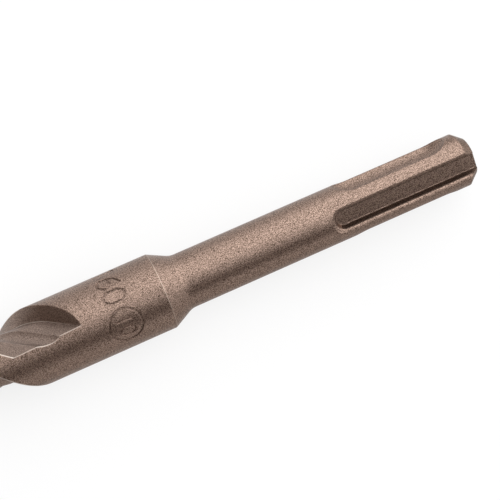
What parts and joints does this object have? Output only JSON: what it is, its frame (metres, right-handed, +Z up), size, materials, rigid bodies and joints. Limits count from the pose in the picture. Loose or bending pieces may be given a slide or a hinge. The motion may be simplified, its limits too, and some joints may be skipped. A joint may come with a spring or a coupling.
{
  "type": "sds plus drill bit",
  "caption": "Hammer drill bit with a grooved quick-change shank, stepped round body, twin spiral flutes and a brazed carbide cutting plate.",
  "frame": {"origin": "on the ground under the middle of the bit as it lies on its side", "axes": "+X along the bit towards the shank's end, so the cutting tip is at -X; +Z up; the carbide plate lies level, in the XY plane"},
  "size_m": [0.16, 0.016, 0.0139],
  "materials": {
    "blasted_steel": "sand-blasted, warm grey-brown",
    "carbide": "ground, satin grey",
    "braze": "satin"
  },
  "bodies": {
    "root": {"drill_body": "blasted_steel", "carbide_plate": "carbide", "braze_seam": "braze"}
  },
  "joints": []
}
